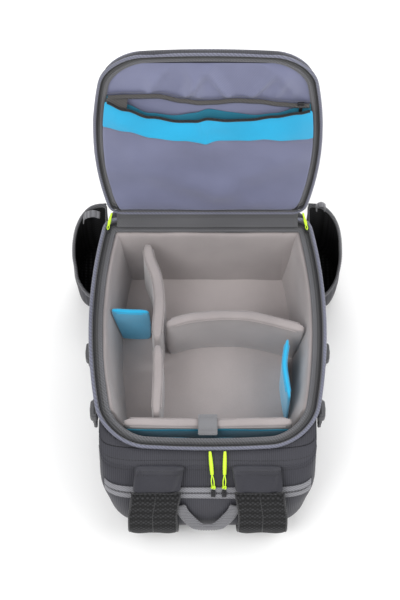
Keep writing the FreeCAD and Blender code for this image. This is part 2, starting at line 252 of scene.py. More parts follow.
def mesh_piece(name, verts, faces, look, body, replaces=(), smooth=True, subdiv=0, thick=0.0, slot=None):
    """A mesh from millimetre points, riding on a body and standing for the CAD nodes named."""
    mesh = bpy.data.meshes.new(name)
    mesh.from_pydata([tuple(c * MM for c in v) for v in verts], [], faces)
    mesh.validate()
    work = bmesh.new()
    work.from_mesh(mesh)
    bmesh.ops.recalc_face_normals(work, faces=work.faces)
    work.to_mesh(mesh)
    work.free()
    for face in mesh.polygons:
        face.use_smooth = smooth
    mesh.materials.append(MAT[look])
    piece = bpy.data.objects.new(name, mesh)
    scene.collection.objects.link(piece)
    if thick:
        solid = piece.modifiers.new("thickness", "SOLIDIFY")
        solid.thickness = thick * MM
        solid.offset = 0
    if subdiv:
        smoother = piece.modifiers.new("smooth", "SUBSURF")
        smoother.levels = subdiv
        smoother.render_levels = subdiv
    if body:
        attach(piece, body)
    if replaces:
        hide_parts(*replaces)
    return piece


def grid_faces(rows, cols, close_rows=False, close_cols=False):
    faces = []
    for i in range(rows if close_rows else rows - 1):
        for j in range(cols if close_cols else cols - 1):
            a = i * cols + j
            b = i * cols + (j + 1) % cols
            c = ((i + 1) % rows) * cols + (j + 1) % cols
            d = ((i + 1) % rows) * cols + j
            faces.append((a, b, c, d))
    return faces


def surface(name, rows, look, body, close_rows=False, close_cols=False, caps=False, **options):
    """A skin over rows of points, each row as long as the others."""
    verts = [p for row in rows for p in row]
    cols = len(rows[0])
    faces = grid_faces(len(rows), cols, close_rows, close_cols)
    if caps:
        faces.append(tuple(range(cols)))
        faces.append(tuple(range(len(verts) - cols, len(verts))))
    return mesh_piece(name, verts, faces, look, body, **options)


def smooth_path(points, step=5.0, closed=False):
    """Evenly spaced points on a smooth curve through the given ones."""
    pts = [Vector(p) for p in points]
    n = len(pts)
    dense = []
    for i in range(n if closed else n - 1):
        p1 = pts[i]
        p2 = pts[(i + 1) % n]
        p0 = pts[(i - 1) % n] if closed or i else p1 * 2 - p2
        p3 = pts[(i + 2) % n] if closed or i + 2 < n else p2 * 2 - p1
        for k in range(16):
            t = k / 16
            dense.append(0.5 * (2 * p1 + (p2 - p0) * t + (2 * p0 - 5 * p1 + 4 * p2 - p3) * t * t
                                + (3 * p1 - p0 - 3 * p2 + p3) * t ** 3))
    dense.append(pts[0].copy() if closed else pts[-1].copy())
    return resample(dense, step, closed)


def resample(points, step, closed=False):
    lengths = [0.0]
    for a, b in zip(points, points[1:]):
        lengths.append(lengths[-1] + (b - a).length)
    count = max(2, round(lengths[-1] / step))
    out = []
    k = 0
    for i in range(count if closed else count + 1):
        target = lengths[-1] * i / count
        while k < len(points) - 2 and lengths[k + 1] < target:
            k += 1
        span = lengths[k + 1] - lengths[k] or 1.0
        out.append(points[k].lerp(points[k + 1], (target - lengths[k]) / span))
    return out


def tangents(path, closed=False):
    n = len(path)
    out = []
    for i in range(n):
        a = path[(i - 1) % n] if closed or i else path[0]
        b = path[(i + 1) % n] if closed or i < n - 1 else path[-1]
        out.append((b - a).normalized())
    return out


def tube_rows(path, radius, closed=False, sides=8):
    """Rings round a path. The radius is a number, or a function of the share of the path."""
    rows = []
    n = len(path)
    for i, (p, t) in enumerate(zip(path, tangents(path, closed))):
        side = t.cross(UP)
        if side.length < 0.05:
            side = t.cross(Vector((1, 0, 0)))
        side.normalize()
        lift = side.cross(t)
        r = radius(i / max(n - 1, 1)) if callable(radius) else radius
        rows.append([p + side * (r * math.cos(a)) + lift * (r * math.sin(a))
                     for a in (2 * math.pi * k / sides for k in range(sides))])
    return rows


def tubes(name, paths, radius, look, body, closed=False, sides=8, **options):
    """One piece of several round cords, with their ends closed."""
    verts = []
    faces = []
    for path in paths:
        rows = tube_rows(path, radius, closed, sides)
        base = len(verts)
        cols = len(rows[0])
        verts += [p for row in rows for p in row]
        faces += [tuple(base + v for v in f) for f in grid_faces(len(rows), cols, closed, True)]
        if not closed:
            faces.append(tuple(range(base, base + cols)))
            faces.append(tuple(range(len(verts) - cols, len(verts))))
    return mesh_piece(name, verts, faces, look, body, **options)


def blocks(name, places, size, look, body, **options):
    """Many small rounded blocks, such as stitches or zip teeth, each at (point, along, up)."""
    verts = []
    faces = []
    length, width, height = size
    for point, along, up in places:
        side = along.cross(up).normalized()
        lift = side.cross(along)
        base = len(verts)
        for end, grow in ((-0.5, 0.55), (-0.3, 1.0), (0.3, 1.0), (0.5, 0.55)):
            for a in range(6):
                angle = math.pi * (a + 0.5) / 3
                verts.append(point + along * (length * end) + side * (width / 2 * grow * math.cos(angle))
                             + lift * (height / 2 * grow * math.sin(angle)))
        faces += [tuple(base + v for v in f) for f in grid_faces(4, 6, False, True)]
        faces.append(tuple(range(base, base + 6)))
        faces.append(tuple(range(base + 18, base + 24)))
    return mesh_piece(name, verts, faces, look, body, **options)


def stitch_places(path, up, pitch=4.2, closed=False, lift=0.4):
    points = resample(path + path[:1] if closed else path, pitch, closed)
    up = Vector(up).normalized()
    return [(p + up * lift, t, up) for p, t in zip(points, tangents(points, closed))]


def stitches(name, path, up, body, pitch=4.0, closed=False, lift=0.4, look="thread", **options):
    places = stitch_places(path, up, pitch, closed, lift)
    return blocks(name, places, STITCH, look, body, **options)


def zip_teeth(name, path, up, size, body, closed=False):
    """A zip's teeth along a path, each lying across it."""
    places = [(p, t.cross(up), up) for p, t in zip(path, tangents(path, closed))]
    return blocks(name, places, size, "zip_coil", body)


def soft_box(name, low, high, radius, look, body, crown=(0, 0, 0), cuts=10, ripple=0.0, place=None,
             **options):
    """A rounded block whose faces swell by the crown, with a light ripple in the cloth."""
    low = Vector(low)
    high = Vector(high)
    middle = (low + high) / 2
    half = (high - low) / 2
    radius = min(radius, min(half) * 0.98)
    work = bmesh.new()
    bmesh.ops.create_cube(work, size=2)
    bmesh.ops.subdivide_edges(work, edges=work.edges, cuts=cuts, use_grid_fill=True)
    verts = []
    for v in work.verts:
        u = Vector([math.copysign(abs(c) ** 0.75, c) for c in v.co])
        p = Vector([u[k] * half[k] for k in range(3)])
        core = Vector([max(-half[k] + radius, min(half[k] - radius, p[k])) for k in range(3)])
        out = p - core
        p = core + out.normalized() * radius if out.length > 1e-6 else p
        for k in range(3):
            swell = 1.0
            for j in range(3):
                if j != k:
                    swell *= 1 - u[j] ** 2
            p[k] += crown[k] * u[k] * swell
        p += middle
        if ripple:
            p += out.normalized() * ripple * noise.noise(p * 0.03)
        verts.append(place(p) if place else p)
    faces = [tuple(v.index for v in f.verts) for f in work.faces]
    work.free()
    return mesh_piece(name, verts, faces, look, body, **options)


# ---------------------------------------------------------------- outline of the opening

def side_x(y, offset=0.0):
    return math.sqrt((SIDE_ARC_R - offset) ** 2 - (y - SIDE_ARC_Y) ** 2) - SIDE_ARC_X


def corner_curve(start, corner, end):
    """Points round a corner, which leave start and reach end heading straight at the corner."""
    out = []
    for k in range(17):
        t = k / 16
        a = start.lerp(corner, 0.56)
        b = end.lerp(corner, 0.56)
        out.append((1 - t) ** 3 * start + 3 * (1 - t) ** 2 * t * a + 3 * (1 - t) * t * t * b + t ** 3 * end)
    return out


def outline(offset, near_r=60.0, far_r=16.0, far=HINGE_Y, step=5.0):
    """The rounded outline of the opening, moved in by an offset, evenly spaced, from the far left corner."""
    near = NEAR_Y + offset
    far = far - offset if far == HINGE_Y else far
    wn = side_x(near, offset)
    wf = side_x(far, offset)
    near_r = max(near_r - offset, 14)
    far_r = max(far_r - offset * 0.5, 8)
    left = [Vector((-side_x(far - far_r - (far - near - far_r - near_r) * k / 20, offset),
                    far - far_r - (far - near - far_r - near_r) * k / 20, 0)) for k in range(21)]
    right = [Vector((-p.x, p.y, 0)) for p in reversed(left)]
    span = wn - near_r
    front = [Vector((span * (k / 10 - 1), near - NEAR_BOW * (1 - (span * (k / 10 - 1) / wn) ** 2), 0))
             for k in range(21)]
    points = left + corner_curve(left[-1], Vector((-wn, near, 0)), front[0]) + front
    points += corner_curve(front[-1], Vector((wn, near, 0)), right[0]) + right
    points += corner_curve(right[-1], Vector((wf, far, 0)), Vector((wf - far_r, far, 0)))
    points += corner_curve(Vector((-wf + far_r, far, 0)), Vector((-wf, far, 0)), left[0])
    points.append(left[0].copy())
    return resample(points, step, True)


def inward(path):
    """Unit vectors into the opening at each point of an outline that runs left side first."""
    return [Vector((-t.y, t.x, 0)) for t in tangents(path, True)]


def opened(point):
    """The open place of a point given on the shut lid."""
    p = Vector(point)
    dy = p.y - HINGE_Y
    dz = p.z - RIM_Z
    c = math.cos(LID_OPEN)
    s = math.sin(LID_OPEN)
    return Vector((p.x, HINGE_Y + dy * c - dz * s, RIM_Z + dy * s + dz * c))


def around(name, base, section, look, body, keep=None, closed_section=True, ripple=0.0, place=None,
           **options):
    """A section of (inward, height) points swept round an outline, or round the part that keep allows."""
    normals = inward(base)
    pairs = list(zip(base, normals))
    closed = keep is None
    if keep:
        flags = [keep(p) for p, _ in pairs]
        first = next(i for i in range(len(flags)) if flags[i] and not flags[i - 1])
        pairs = pairs[first:] + pairs[:first]
        pairs = pairs[:next((i for i, (p, _) in enumerate(pairs) if not keep(p)), len(pairs))]
    rows = []
    count = len(pairs)
    for i, (p, n) in enumerate(pairs):
        end = 1.0
        if keep:
            edge = min(i, count - 1 - i)
            end = (0.55, 0.85, 0.97)[edge] if edge < 3 else 1.0
        mid_in = sum(s[0] for s in section) / len(section)
        mid_z = sum(s[1] for s in section) / len(section)
        row = []
        for depth, z in section:
            q = p + n * (mid_in + (depth - mid_in) * end)
            q.z = mid_z + (z - mid_z) * (1 - (1 - end) * 0.3)
            if ripple:
                q += n * ripple * noise.noise(q * 0.022 + Vector((3, 7, 1)))
                q.z += ripple * 0.5 * noise.noise(q * 0.02)
            row.append(place(q) if place else q)
        rows.append(row)
    return surface(name, rows, look, body, close_rows=closed, close_cols=closed_section,
                   caps=bool(keep) and closed_section, **options)


def ring_path(offset, z, place=None, step=5.0, **shape):
    points = [Vector((p.x, p.y, z)) for p in outline(offset, step=step, **shape)]
    return [place(p) for p in points] if place else points


LID_NORMAL = (opened((0, 0, 0)) - opened((0, 0, 1))).normalized()
LID_SHAPE = dict(near_r=64.0, far_r=26.0, far=HINGE_Y - LID_START)


# ---------------------------------------------------------------- bag body

def oval(half_in, half_z, mid_in, mid_z, power=3.0, count=16):
    """A rounded section of (inward, height) points."""
    out = []
    for k in range(count):
        a = 2 * math.pi * k / count
        c = math.cos(a)
        s = math.sin(a)
        out.append((mid_in + half_in * math.copysign(abs(c) ** (2 / power), c),
                    mid_z + half_z * math.copysign(abs(s) ** (2 / power), s)))
    return out


def bag_shell():
    base = outline(0)
    section = [(9, 183), (6.5, 182), (6, 176), (5.5, 160), (5, 130), (5.5, 100), (6, 70), (6.5, 50),
               (7.5, 34), (11, 23), (19, 17.5), (36, 16.6), (70, 16.5), (120, 16.4)]
    shell = around("bag_shell", base, section, "shell_nylon", "bag", closed_section=False, ripple=3.0,
                   thick=1.2, replaces=("side_panel_left", "side_panel_right", "base_panel",
                                        "partition_panel", "front_organiser", "front_board"))
    soft_box("bag_front_face", (-110, -115, 15.2), (110, 140, 19), 1.5, "outer_nylon", "bag")
    for z, tag in ((50, "front"), (26, "low")):
        tubes("side_seam_" + tag, [ring_path(5.2, z)], 1.7, "piping", "bag", closed=True)
    return shell


def rim():
    tubes("rim_piping_cord", [ring_path(2.2, 187.2)], 2.6, "piping", "bag", closed=True, sides=12,
          replaces=("rim_piping",))
    around("rim_piping_lip", outline(0), oval(1.4, 3.4, 4.6, 184.2), "rim_tape", "bag")
    around("rim_zip_tape_cloth", outline(0), oval(4.2, 0.8, 9.2, 182.6), "zip_tape", "bag",
           replaces=("rim_zip_tape",))
    zip_teeth("rim_zip_teeth", ring_path(8.6, 183.9, step=2.3), UP, (3.0, 1.5, 1.6), "bag", True)
    around("rim_binding_tape", outline(0), oval(4.6, 1.6, 16.2, 180.4), "rim_tape", "bag")
    stitches("rim_stitches", ring_path(18.6, 181.6), UP, "bag", closed=True)


def wall_pads():
    base = outline(0)
    section = [(14, 58), (13.5, 100), (13.6, 150), (14.6, 168), (17.4, 175.4), (21, 177.4), (24.6, 175.6),
               (27.0, 169), (29.5, 155), (33, 132), (37.5, 106), (42, 80), (45.4, 64), (46.5, 60), (46, 55),
               (30, 54.5)]
    sides = {"left": lambda p: p.x < -108 and p.y > -118, "right": lambda p: p.x > 108 and p.y > -118,
             "far": lambda p: abs(p.x) < 132 and p.y > 0}
    for word, keep in sides.items():
        pad = around("wall_pad_" + word + "_foam", base, section, "pad_velour", "bag", keep=keep,
                     ripple=2.2, subdiv=1, replaces=("wall_pad_" + word,))
    low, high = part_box("floor_pad")
    floor = soft_box("floor_pad_foam", (low[0] / MM - 6, low[1] / MM + 2, low[2] / MM),
                     (high[0] / MM + 6, high[1] / MM + 8, 61), 3.5, "floor_velour", "bag",
                     crown=(0, 0, 1.5), cuts=24, ripple=1.0, replaces=("floor_pad",))


def pad_wall(name, points, top, thick, look, body, node, wave_top=1.6):
    """An upright foam pad along points: rounded edges, a crowned top, and sides that swell a little."""
    bottom = 60.6
    path = smooth_path([(x, y, 0) for x, y in points], 6.0)
    across = [Vector((-t.y, t.x, 0)) for t in tangents(path)]
    rows = []
    count = len(path)
    for i, (p, n) in enumerate(zip(path, across)):
        edge = min(i, count - 1 - i)
        end = (0.42, 0.8, 0.96)[edge] if edge < 3 else 1.0
        swell = 1 + 0.10 * math.sin(math.pi * i / (count - 1))
        lift = wave_top * noise.noise(Vector((p.x * 0.03, p.y * 0.03, thick)))
        row = []
        for depth, z in oval(thick / 2 * 0.94 * end * swell, (top - bottom) / 2, 0, (top + bottom) / 2, 5.5,
                             28):
            low_part = max(0.0, 1 - (z - bottom) / 26)
            q = p + n * depth * (1 + 0.2 * low_part)
            q.z = z + (lift if z > top - 20 else 0) - (1 - end) * (6 if z > top - 20 else 0)
            q += n * 0.8 * noise.noise(q * 0.03)
            wall = side_x(max(q.y, NEAR_Y + 40), 27.5 + (176 - min(q.z, 176)) * 0.165)
            q.x = max(-wall, min(wall, q.x))
            row.append(q)
        rows.append(row)
    pad = surface(name, rows, look, body, close_cols=True, caps=True, subdiv=1, replaces=(node,))
    seam = []
    for side in (-1, 1):
        seam.append([p + n * side * (thick / 2 * 0.97) * 0.93 + Vector((0, 0, top - 4.6))
                     for p, n in list(zip(path, across))[2:-2]])
    tubes(name + "_seam", seam, 0.75, look, body, sides=6)


def dividers():
    pad_wall("divider_long_foam", [(-94, 178), (-90, 152), (-79, 120), (-74, 80), (-76, 40), (-77, 13)],
             172, 18, "pad_velour", "divider_long", "divider_long")
    pad_wall("divider_lower_foam", [(-76, 9), (-75, -30), (-76, -75), (-77, -108)], 168, 16, "pad_velour",
             "divider_lower", "divider_lower")
    pad_wall("divider_cross_foam", [(-64, 38), (-34, 48), (8, 54), (58, 54), (102, 44), (150, 30)], 172, 17,
             "pad_velour", "divider_cross", "divider_cross")
    pad_wall("divider_blue_left_foam", [(-152, 66), (-120, 64), (-88, 63)], 164, 8, "blue_velour",
             "divider_blue_left", "divider_blue_left", wave_top=0.6)
    pad_wall("divider_blue_right_foam", [(123, 20), (118, -10), (117, -30), (123, -80)], 164, 8,
             "blue_velour", "divider_blue_right", "divider_blue_right", wave_top=0.6)
    pad_wall("sleeve_pad_foam", [(-128, -121), (-60, -122), (0, -123), (60, -122), (128, -121)], 174, 16,
             "pad_velour", "bag", "sleeve_pad")


def sleeve():
    rows = []
    for z in range(58, 181, 6):
        row = []
        for x in range(-118, 119, 6):
            bow = NEAR_BOW * 0.6 * (1 - (x / 112) ** 2)
            ripple = 2.0 * noise.noise(Vector((x * 0.02, z * 0.02, 5)))
            row.append(Vector((x, -149 - bow + ripple + (4 if z > 174 else 0), min(z, 177))))
        rows.append(row)
    surface("sleeve_lining_cloth", rows, "teal_lining", "bag", thick=1.0, replaces=("sleeve_lining",))
    rows = []
    for k in range(19):
        z = 62 + 108 * k / 18
        rows.append([Vector((x, -132.6 - 1.2 * noise.noise(Vector((x * 0.02, z * 0.03, 8))), z))
                     for x in range(-124, 125, 6)])
    surface("sleeve_pad_backing", rows, "teal_lining", "bag", thick=0.8)
    strap = smooth_path([(0, -144, 176), (0, -136, 177.6), (0, -122, 177.8), (0, -112.6, 176.5),
                         (0, -110, 170), (0, -109.6, 152)], 3)
    rows = [[p + Vector((x, 0, 0)) for x in (-14.5, -10, -5, 0, 5, 10, 14.5)] for p in strap]
    surface("sleeve_tab_strap", rows, "hook_loop", "sleeve_tab", thick=1.8, subdiv=1,
            replaces=("sleeve_tab",))


# ---------------------------------------------------------------- top end

END_LEVELS = [(8, 2), (8.6, 14), (10, 24), (13.5, 32), (20, 39), (30, 47.5), (38, 54), (45, 59), (52, 63.5),
              (62, 68), (76, 74), (95, 80), (112, 84), (130, 82.5), (150, 75), (161, 63), (168, 48),
              (171, 26)]


def end_reach(drop):
    for (h0, e0), (h1, e1) in zip(END_LEVELS, END_LEVELS[1:]):
        if h0 <= drop <= h1:
            return e0 + (e1 - e0) * (drop - h0) / (h1 - h0)
    return END_LEVELS[-1][1]


END_BACK = 58.0
END_POWER = 0.25


def end_place(angle, drop, lift=0.0, half=160.0):
    """A point on the end's skin at an angle round it, 0 at the left wall and pi at the right."""
    c = -math.cos(angle)
    s = math.sin(angle)
    power = END_POWER + 0.16 * max(0.0, min(1.0, (drop - 52) / 50))
    reach = end_reach(drop) + END_BACK
    half -= 0.10 * max(drop - 60, 0)
    x = half * math.copysign(abs(c) ** power, c)
    y = NEAR_Y + END_BACK - reach * abs(s) ** power
    wrinkle = 1.6 * noise.noise(Vector((x * 0.018, drop * 0.05, 2.0)))
    return Vector((x, y - (lift + wrinkle) * s * 0.85, RIM_Z - drop + lift * (0.55 if drop < 95 else -0.3)))


def end_angle(x, half=160.0):
    c = math.copysign((abs(x) / half) ** (1 / END_POWER), x)
    return math.acos(-c)


def end_rows(low, high, steps, lift=0.0, first=0.0, last=math.pi, count=72):
    rows = []
    for i in range(steps + 1):
        drop = low + (high - low) * i / steps
        rows.append([end_place(first + (last - first) * k / count, drop, lift) for k in range(count + 1)])
    return rows


def top_end():
    rim_line = outline(1.0)
    skirt = []
    for share in (0.0, 0.3, 0.65, 1.0):
        row = []
        for k in range(73):
            edge = end_place(math.pi * k / 72, 8)
            near = min(rim_line, key=lambda p: (p.x - edge.x) ** 2 + (p.y - edge.y) ** 2)
            q = Vector((near.x, near.y, 183.5)).lerp(edge, share)
            q.z -= 1.2 * math.sin(math.pi * share)
            row.append(q)
        skirt.append(row)
    surface("hood_top_cloth", skirt, "outer_nylon", "bag", thick=1.0)
    drops = [h for h, _ in END_LEVELS]
    rows = [[end_place(math.pi * k / 72, h) for k in range(73)] for h in drops]
    surface("top_end_shell", rows, "outer_nylon", "bag", thick=1.2, subdiv=1,
            replaces=("top_hood", "top_end_panel"))
    left = end_angle(-152)
    right = end_angle(152)
    surface("top_zip_band_cloth", end_rows(38, 52, 6, 1.2, left, right), "band", "bag", thick=1.6,
            replaces=("top_zip_band",))
    for drop, tag in ((37.4, "upper"), (52.6, "lower")):
        path = [end_place(left + (right - left) * k / 90, drop, 1.6) for k in range(91)]
        tubes("band_edge_" + tag, [path], 0.9, "band", "bag", sides=6)
    path = resample([end_place(left + (right - left) * k / 120, 45, 2.2) for k in range(121)], 2.2)
    out = Vector((0, -0.81, 0.58))
    zip_teeth("band_zip_teeth", path, out, (3.2, 1.5, 1.4), "bag")
    seam = [end_place(0.15 + (math.pi - 0.3) * k / 90, 12.5, 0.8) for k in range(91)]
    tubes("end_seam", [seam], 1.0, "outer_nylon", "bag", sides=6)
    places = []
    for drop in (9.6, 15.5):
        path = [end_place(0.2 + (math.pi - 0.4) * k / 90, drop, 0.7) for k in range(91)]
        places += stitch_places(path, (0, -0.3, 1), 4.4)
    for drop in (35.2, 55.0):
        path = [end_place(left + (right - left) * k / 90, drop, 0.9) for k in range(91)]
        places += stitch_places(path, out, 4.4)
    blocks("end_stitches", places, (2.6, 0.7, 0.6), "dark_thread", "bag")


def strap_path():
    return smooth_path([(0, -193, 182.5), (0, -200, 184), (0, -211, 174), (0, -222, 162.5), (0, -233, 150),
                        (0, -243, 125), (0, -253, 98), (0, -257, 78), (0, -251, 48), (0, -240, 24),
                        (0, -226, 9), (0, -205, 6), (0, -180, 6), (0, -153, 6)], 5)


def strap(side, word):
    """A padded shoulder strap: gathered nylon at its root, then air mesh with a seam down the middle."""
    path = strap_path()
    along = tangents(path)
    count = len(path)
    rows = []
    for i, (p, t) in enumerate(zip(path, along)):
        out = Vector((0, t.z, -t.y))
        out = out if out.y < 0 or (abs(t.z) < 0.4 and out.z * (1 if i < count / 2 else -1) > 0) else -out
        share = i / (count - 1)
        half = 36 - 1.5 * math.sin(math.pi * min(share * 2, 1))
        middle = side * (70 + 12.0 * min(share * 3, 1))
        edge = min(i, count - 1 - i)
        puff = (0.4, 0.75, 0.95)[edge] if edge < 3 else 1.0
        row = []
        for k in range(28):
            a = 2 * math.pi * k / 28
            c = math.cos(a)
            s = math.sin(a)
            x = half * math.copysign(abs(c) ** 0.42, c)
            dip = 0.55 * math.exp(-(x / 3.2) ** 2) if s > 0 else 0
            thick = 4.3 * puff * (1 - dip) * (1 - 0.25 * (x / half) ** 4)
            gather = 0.0
            if share < 0.2 and s > 0:
                swing = 2.2 * noise.noise(Vector((x * 0.05, share * 9, side)))
                gather = 2.8 * math.sin(x * 0.36 + swing) * math.sin(math.pi * min(share * 5.5, 1))
            lift = thick * math.copysign(abs(s) ** 0.6, s) + gather
            row.append(Vector((middle + x, p.y, p.z)) + out * lift)
        rows.append(row)
    split = next(i for i, p in enumerate(path) if p.y < -226)
    body = "shoulder_strap_" + word
    root = surface("strap_root_" + word, rows[:split + 1], "root_nylon", body, close_cols=True, caps=True,
                   subdiv=1, replaces=(body,))
    mesh = surface("strap_mesh_" + word, rows[split:], "air_mesh", body, close_cols=True, caps=True,
                   subdiv=1)
    edges = [[row[k] for row in rows[split:-1]] for k in (0, 14)]
    tubes("strap_binding_" + word, [resample(e, 4) for e in edges], 2.0, "binding", body, sides=8)
    top = [row[7] for row in rows[split:-1]]
    tubes("strap_seam_" + word, [resample(top, 4)], 1.1, "binding", body, sides=6)
    fold = [rows[split][k] for k in range(1, 14)]
    tubes("strap_fold_" + word, [smooth_path(fold, 3)], 1.3, "binding", body, sides=6)
    places = []
    for row in (rows[2], rows[3]):
        places += stitch_places(smooth_path(row[2:13], 3), (0, -0.6, 0.8), 4.0)
    blocks("strap_stitches_" + word, places, STITCH, "dark_thread", body)


def handle():
    """The webbing grab loop that hangs down the end between the straps."""
    route = smooth_path([(-42, 64, 0), (-37, 78, 0), (-26, 95, 0), (-10, 110, 0), (10, 110, 0), (26, 95, 0),
                         (37, 78, 0), (42, 64, 0)], 3.5)
    rows = []
    for p, t in zip(route, tangents(route)):
        across = Vector((-t.y, t.x, 0))
        row = []
        for w, lift in ((-9.5, 4.4), (-9.5, 7.2), (-5, 7.6), (0, 7.7), (5, 7.6), (9.5, 7.2), (9.5, 4.4),
                        (0, 4.2)):
            q = p + across * w
            drop = max(50.0, min(q.y, 118.0))
            swing = 5.5 * max(0.0, min(1.0, (drop - 84) / 28))
            q = Vector((q.x, NEAR_Y - end_reach(drop) - lift * 0.8 - swing, RIM_Z - drop + lift * 0.25))
            row.append(q)
        rows.append(row)
    surface("grab_handle_webbing", rows, "webbing", "grab_handle", close_cols=True, caps=True, subdiv=1,
            replaces=("grab_handle",))
    places = []
    for k in (2, 4):
        places += stitch_places([row[k] for row in rows], (0, -1, 0.3), 4.0)
    blocks("grab_handle_stitches", places, STITCH, "thread", "grab_handle", slot="webbing")


# ---------------------------------------------------------------- zips

def slider_piece(name, frame_at, size=1.0):
    """A zip slider: a body with a nose, and the bridge that its pull hangs on."""
    low = (-3.0 * size, -5 * size, 0)
    high = (3.0 * size, 5 * size, 3.6 * size)
    soft_box(name + "_body", low, high, 1.3 * size, "zip_metal", name, cuts=6, place=frame_at,
             replaces=(name,))
    arch = [Vector((0, 3.6 * size * math.cos(a), (3.2 + 2.2 * math.sin(a)) * size))
            for a in (math.pi * k / 12 for k in range(13))]
    tubes(name + "_bridge", [[frame_at(p) for p in arch]], 0.7 * size, "zip_metal", name)


def main_grip_radius(share):
    return 1.5 + 0.9 * math.sin(math.pi * min(share * 1.6, 1)) + 0.18 * math.sin(share * 60)


def top_grip_radius(share):
    swell = 1.2 * math.sin(math.pi * min(0.15 + share * 0.85, 1)) ** 0.6
    return 1.7 + swell + 0.16 * math.sin(share * 90)


def main_zips():
    for side, word in SIDES:
        y = 192.0
        x = side * side_x(y, 8.6)
        turn = side * math.asin((y - SIDE_ARC_Y) / SIDE_ARC_R)

        def at(p, x=x, y=y, turn=turn):
            q = Matrix.Rotation(turn, 3, "Z") @ Vector(p)
            return Vector((x + q.x, y + q.y, 183.6 + q.z))
        slider_piece("main_slider_" + word, at)
        grip = [at((0, 4 + k * 0.8, 8.2 + 0.6 * math.sin(k * 0.1))) for k in range(29)]
        tubes("main_pull_grip_" + word, [grip], main_grip_radius, "neon_cord", "main_pull_" + word,
              sides=12, replaces=("main_pull_" + word,))
        loop = smooth_path([at(p) for p in ((-1.0, 6, 7.8), (-1.6, 2, 6.6), (0, -1.5, 6.0), (1.6, 2, 6.6),
                                            (1.0, 6, 7.8))], 1.2)
        tubes("main_pull_loop_" + word, [loop], 0.7, "neon_cord", "main_pull_" + word)


def top_zips():
    slope = math.atan2(14, 10)
    for x, word, lean in ((8, "left", -5), (24, "right", 1)):
        origin = Vector((x, NEAR_Y - 59.0, RIM_Z - 44.0))

        def at(p, origin=origin):
            c = math.cos(slope)
            s = math.sin(slope)
            return origin + Vector((p.x, p.y * c - (p.z + 1.5) * s, p.y * s + (p.z + 1.5) * c))
        slider_piece("top_slider_" + word, at, 1.15)
        pull = "top_pull_" + word
        a = Vector((x, NEAR_Y - 55.5, RIM_Z - 32.5))
        b = Vector((x + lean * 0.4, NEAR_Y - 41, RIM_Z - 12.5))
        c = Vector((x + lean, NEAR_Y - 11, RIM_Z - 0.5))
        cords = [smooth_path([a + Vector((s * 1.2, 0, 0)), a.lerp(b, 0.5) + Vector((s * 1.9, -1.5, 1)), b],
                             2) for s in (-1, 1)]
        tubes(pull + "_cord", cords, 0.85, "neon_cord", pull, replaces=(pull,))
        knot = [a + Vector((2.6 * math.cos(t), 1.6 * math.sin(2 * t), 2.2 * math.sin(t)))
                for t in (2 * math.pi * k / 24 for k in range(24))]
        tubes(pull + "_knot", [knot], 1.0, "neon_cord", pull, closed=True)
        grip = smooth_path([b.lerp(c, -0.05), b.lerp(c, 0.35) + Vector((0, 0, 1.0)), c], 1.0)
        tubes(pull + "_grip", [grip], top_grip_radius, "neon_cord", pull, sides=14)


# ---------------------------------------------------------------- side pockets and webbing

def pocket_mouth_z(y):
    return min(72 + (y - 128) * 0.925, 182)


def pocket_wall(y):
    """Where the bag's own side is beside a pocket."""
    return side_x(min(y, 206), 4.0) + 1.5


def pocket_ring(level, inset, side, count=44):
    """One level of a side pocket, 0 at its foot and 1 at its slanted mouth."""
    ring = []
    for k in range(count):
        t = k / count
        if t < 0.66:
            a = math.pi * t / 0.66
            bulge = 48 * (0.86 + 0.14 * math.sin(math.pi * min(level, 1) * 0.6 + 0.6))
            y = 186 - (58 - inset) * math.cos(a)
            wall = pocket_wall(y)
            x = wall + (168.5 + bulge - wall - inset) * math.sin(a) ** 0.7
        else:
            s = (t - 0.66) / 0.34
            y = 244 - inset - (116 - 2 * inset) * s
            x = pocket_wall(y) + inset
        top = pocket_mouth_z(y)
        foot = 25 + inset
        z = foot + (top - foot) * level
        x += 1.6 * noise.noise(Vector((y * 0.05, z * 0.03, 4 + side)))
        ring.append(Vector((side * x, y, z)))
    return ring


HEM_SECTION = ((-1.6, 7), (-2.0, 3), (-1.5, 0.3), (0, -0.9), (1.7, 0.3), (2.4, 3), (2.3, 8))


def side_pockets():
    for side, word in SIDES:
        levels = [0.0, 0.04, 0.15, 0.3, 0.45, 0.6, 0.75, 0.88, 0.96, 1.0]
        outer = [pocket_ring(v, 1.0 if v else 5.0, side) for v in levels]
        inner = [pocket_ring(v, 3.6 if v > 0.05 else 6.0, side) for v in reversed(levels)]
        floor = [[p.lerp(Vector((side * 188, 186, 27)), 0.97) for p in inner[-1]]]
        bottom = [[p.lerp(Vector((side * 188, 186, 25)), 0.97) for p in outer[0]]]
        surface("side_pocket_shell_" + word, bottom + outer, "side_nylon", "bag", close_cols=True,
                replaces=("side_pocket_" + word,))
        surface("side_pocket_mesh_" + word, inner + floor, "air_mesh", "bag", close_cols=True)
        rim_path = pocket_ring(1.0, 2.2, side)
        hem = []
        for p in rim_path:
            out = Vector((p.x - side * 186, (p.y - 186) * 0.8, 0)).normalized()
            hem.append([p + out * (w + 0.4) - UP * d for w, d in HEM_SECTION])
        surface("side_pocket_hem_" + word, hem, "hem", "bag", close_rows=True, subdiv=1,
                replaces=("pocket_hem_" + word,), thick=0.8)
        stitches("side_pocket_stitches_" + word, [row[5] for row in hem], (side, 0, 0), "bag", 4.2, True,
                 0.6, slot="hem")


RIBBON_SECTION = ((-1, -0.7), (-1, 0.7), (-0.92, 1), (0, 1.05), (0.92, 1), (1, 0.7), (1, -0.7), (0, -1))


